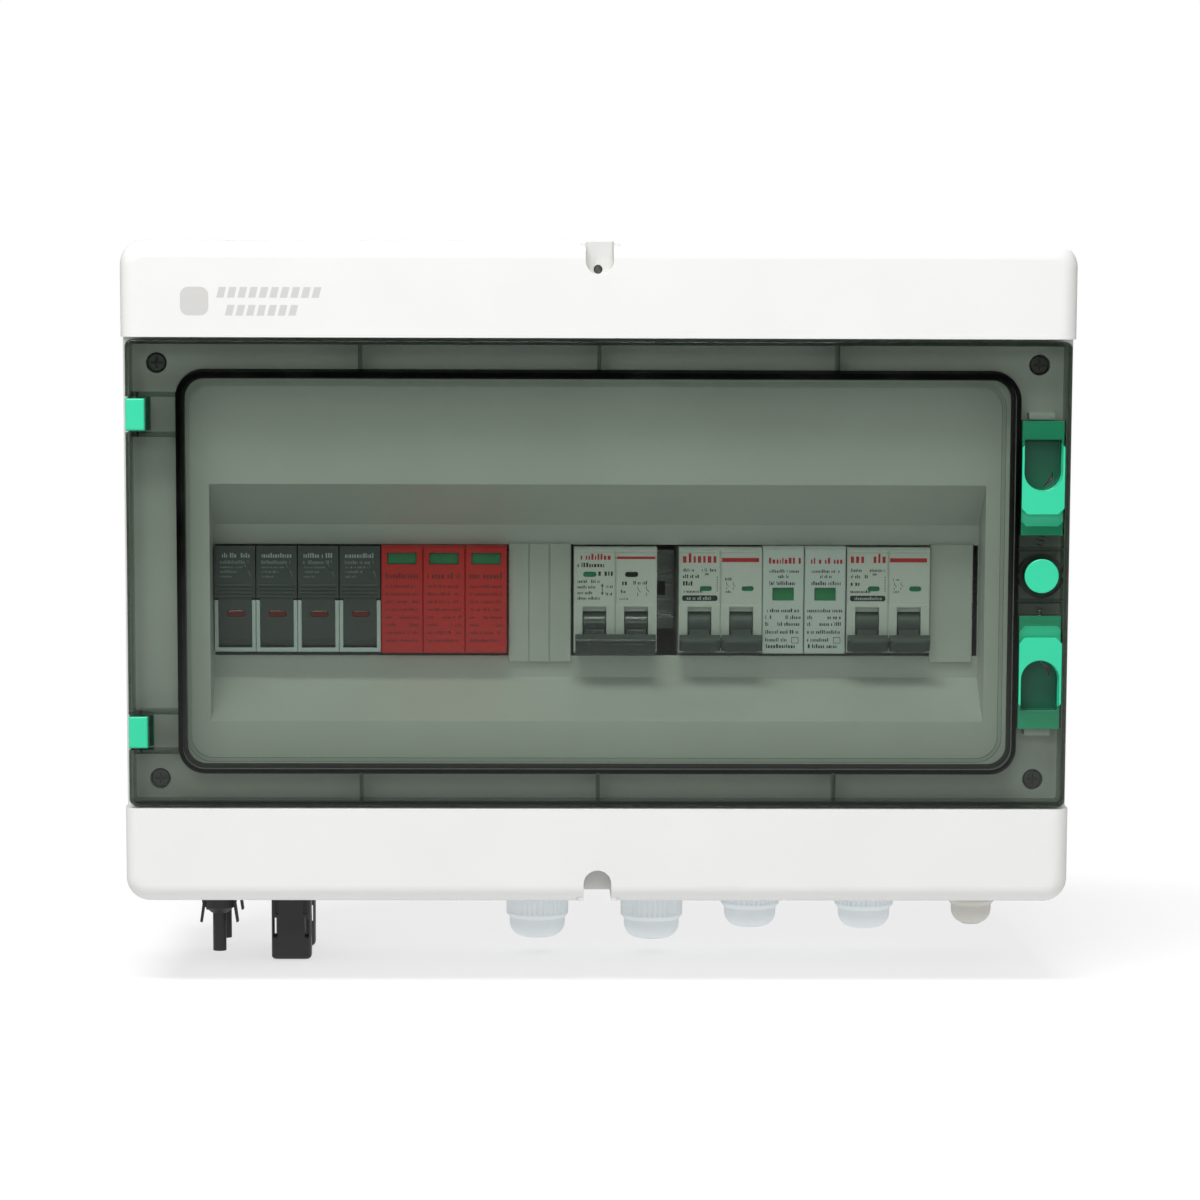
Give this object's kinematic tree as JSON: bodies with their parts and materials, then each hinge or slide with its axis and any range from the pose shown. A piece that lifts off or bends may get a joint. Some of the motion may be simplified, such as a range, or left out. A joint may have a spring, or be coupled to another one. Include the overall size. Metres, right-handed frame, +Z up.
{
  "type": "dc combiner box",
  "caption": "Wall-hung white plastic combiner box with a smoked hinged door over a row of fuses, surge arresters, isolator and breakers, with cable glands and solar plugs below.",
  "frame": {"origin": "centre of the flat mounting face at the back of the base", "axes": "+X to the right seen from the front, along the longest side; +Y into the wall; +Z up"},
  "size_m": [0.4, 0.14, 0.314],
  "materials": {
    "white_plastic": "satin moulded white ABS",
    "smoked_clear": "clear smoked polycarbonate",
    "green_plastic": "satin green moulding",
    "black_seal": "soft foam cord",
    "light_grey_plastic": "fine matt device housing",
    "dark_grey_plastic": "matt dark grey",
    "black_plastic": "matt black nylon",
    "red_plastic": "satin red",
    "gland_plastic": "light grey nylon",
    "bluish_grey_rubber": "soft rubber",
    "blue_plastic": "blue feet",
    "zinc_steel": "zinc plated",
    "brass": "plain brass",
    "fuse_white": "ceramic tube with plated caps",
    "flag_green_red": "printed flag",
    "insulation_red": "soft insulation",
    "insulation_black": "soft insulation",
    "insulation_blue": "soft insulation",
    "insulation_green": "soft insulation"
  },
  "bodies": {
    "enclosure": {"ac_surge_base": "light_grey_plastic", "bar_holders": "blue_plastic", "base_box": "white_plastic", "blank_plate": "light_grey_plastic", "blank_strip": "light_grey_plastic", "breaker_1_body": "light_grey_plastic", "breaker_2_body": "light_grey_plastic", "cover_screws": "zinc_steel", "cover_seal": "black_seal", "dc_surge_base": "light_grey_plastic", "din_rail": "zinc_steel", "door_seal": "black_seal", "earth_bar": "brass", "front_cover": "white_plastic", "fuse_bases": "light_grey_plastic", "gland_bodies": "gland_plastic", "gland_locknuts": "gland_plastic", "gland_nuts": "gland_plastic", "gland_seals": "bluish_grey_rubber", "isolator_body": "light_grey_plastic", "lower_hinge_clip": "green_plastic", "neutral_bar": "brass", "pv_locknuts": "black_plastic", "pv_plugs": "black_plastic", "pv_sockets": "black_plastic", "rail_screws": "zinc_steel", "terminal_screws": "zinc_steel", "upper_hinge_clip": "green_plastic", "wires_black": "insulation_black", "wires_blue": "insulation_blue", "wires_earth": "insulation_green", "wires_red": "insulation_red"},
    "door": {"door": "smoked_clear", "hinge_pins": "zinc_steel", "upper_latch_spring": "zinc_steel", "lower_latch_spring": "zinc_steel"},
    "upper_latch": {"upper_latch": "green_plastic"},
    "lower_latch": {"lower_latch": "green_plastic"},
    "lock_plug": {"lock_plug": "green_plastic"},
    "fuse_carrier_1": {"fuse_carrier_1": "dark_grey_plastic", "fuse_link_1": "fuse_white"},
    "fuse_carrier_2": {"fuse_carrier_2": "dark_grey_plastic", "fuse_link_2": "fuse_white"},
    "fuse_carrier_3": {"fuse_carrier_3": "dark_grey_plastic", "fuse_link_3": "fuse_white"},
    "fuse_carrier_4": {"fuse_carrier_4": "dark_grey_plastic", "fuse_link_4": "fuse_white"},
    "dc_surge_cartridge_1": {"dc_surge_cartridge_1": "red_plastic"},
    "dc_surge_cartridge_2": {"dc_surge_cartridge_2": "red_plastic"},
    "dc_surge_cartridge_3": {"dc_surge_cartridge_3": "red_plastic"},
    "ac_surge_cartridge_1": {"ac_surge_cartridge_1": "light_grey_plastic"},
    "ac_surge_cartridge_2": {"ac_surge_cartridge_2": "light_grey_plastic"},
    "isolator_lever": {"isolator_lever": "dark_grey_plastic"},
    "isolator_flags": {"isolator_flags": "flag_green_red"},
    "breaker_1_lever": {"breaker_1_lever": "dark_grey_plastic"},
    "breaker_1_flags": {"breaker_1_flags": "flag_green_red"},
    "breaker_2_lever": {"breaker_2_lever": "dark_grey_plastic"},
    "breaker_2_flags": {"breaker_2_flags": "flag_green_red"}
  },
  "joints": [
    {"name": "door_hinge", "type": "hinge", "parent": "enclosure", "child": "door", "pos_m": [-0.1945, -0.132, 0], "axis": [0, 0, -1], "range_deg": [0, 120]},
    {"name": "upper_latch_slide", "type": "slide", "parent": "door", "child": "upper_latch", "axis": [0, 0, -1], "range_m": [0, 0.0045], "stiffness_N_per_m": 300, "springref_m": -0.004, "deforming": ["upper_latch_spring"]},
    {"name": "lower_latch_slide", "type": "slide", "parent": "door", "child": "lower_latch", "axis": [0, 0, 1], "range_m": [0, 0.0045], "stiffness_N_per_m": 300, "springref_m": -0.004, "deforming": ["lower_latch_spring"]},
    {"name": "lock_plug_pull", "type": "slide", "parent": "door", "child": "lock_plug", "axis": [0, -1, 0], "range_m": [0, 0.012]},
    {"name": "fuse_carrier_1_swing", "type": "hinge", "parent": "enclosure", "child": "fuse_carrier_1", "pos_m": [-0.1549, -0.1016, -0.0292], "axis": [1, 0, 0], "range_deg": [0, 45]},
    {"name": "fuse_carrier_2_swing", "type": "hinge", "parent": "enclosure", "child": "fuse_carrier_2", "pos_m": [-0.1371, -0.1016, -0.0292], "axis": [1, 0, 0], "range_deg": [0, 45]},
    {"name": "fuse_carrier_3_swing", "type": "hinge", "parent": "enclosure", "child": "fuse_carrier_3", "pos_m": [-0.1193, -0.1016, -0.0292], "axis": [1, 0, 0], "range_deg": [0, 45]},
    {"name": "fuse_carrier_4_swing", "type": "hinge", "parent": "enclosure", "child": "fuse_carrier_4", "pos_m": [-0.1015, -0.1016, -0.0292], "axis": [1, 0, 0], "range_deg": [0, 45]},
    {"name": "dc_surge_cartridge_1_pull", "type": "slide", "parent": "enclosure", "child": "dc_surge_cartridge_1", "axis": [0, -1, 0], "range_m": [0, 0.02]},
    {"name": "dc_surge_cartridge_2_pull", "type": "slide", "parent": "enclosure", "child": "dc_surge_cartridge_2", "axis": [0, -1, 0], "range_m": [0, 0.02]},
    {"name": "dc_surge_cartridge_3_pull", "type": "slide", "parent": "enclosure", "child": "dc_surge_cartridge_3", "axis": [0, -1, 0], "range_m": [0, 0.02]},
    {"name": "ac_surge_cartridge_1_pull", "type": "slide", "parent": "enclosure", "child": "ac_surge_cartridge_1", "axis": [0, -1, 0], "range_m": [0, 0.02]},
    {"name": "ac_surge_cartridge_2_pull", "type": "slide", "parent": "enclosure", "child": "ac_surge_cartridge_2", "axis": [0, -1, 0], "range_m": [0, 0.02]},
    {"name": "isolator_lever_turn", "type": "hinge", "parent": "enclosure", "child": "isolator_lever", "pos_m": [0.00785, -0.1, -0.024], "axis": [-1, 0, 0], "range_deg": [0, 70]},
    {"name": "isolator_flags_slide", "type": "slide", "parent": "enclosure", "child": "isolator_flags", "axis": [0, 0, 1], "range_m": [0, 0.004]},
    {"name": "breaker_1_lever_turn", "type": "hinge", "parent": "enclosure", "child": "breaker_1_lever", "pos_m": [0.0529, -0.1, -0.024], "axis": [-1, 0, 0], "range_deg": [0, 70]},
    {"name": "breaker_1_flags_slide", "type": "slide", "parent": "enclosure", "child": "breaker_1_flags", "axis": [0, 0, 1], "range_m": [0, 0.004]},
    {"name": "breaker_2_lever_turn", "type": "hinge", "parent": "enclosure", "child": "breaker_2_lever", "pos_m": [0.1249, -0.1, -0.024], "axis": [-1, 0, 0], "range_deg": [0, 70]},
    {"name": "breaker_2_flags_slide", "type": "slide", "parent": "enclosure", "child": "breaker_2_flags", "axis": [0, 0, 1], "range_m": [0, 0.004]}
  ],
  "couplings": [
    {"joint": "isolator_flags_slide", "follows": "isolator_lever_turn", "m_per_rad": 0.0032739},
    {"joint": "breaker_1_flags_slide", "follows": "breaker_1_lever_turn", "m_per_rad": 0.0032739},
    {"joint": "breaker_2_flags_slide", "follows": "breaker_2_lever_turn", "m_per_rad": 0.0032739}
  ]
}
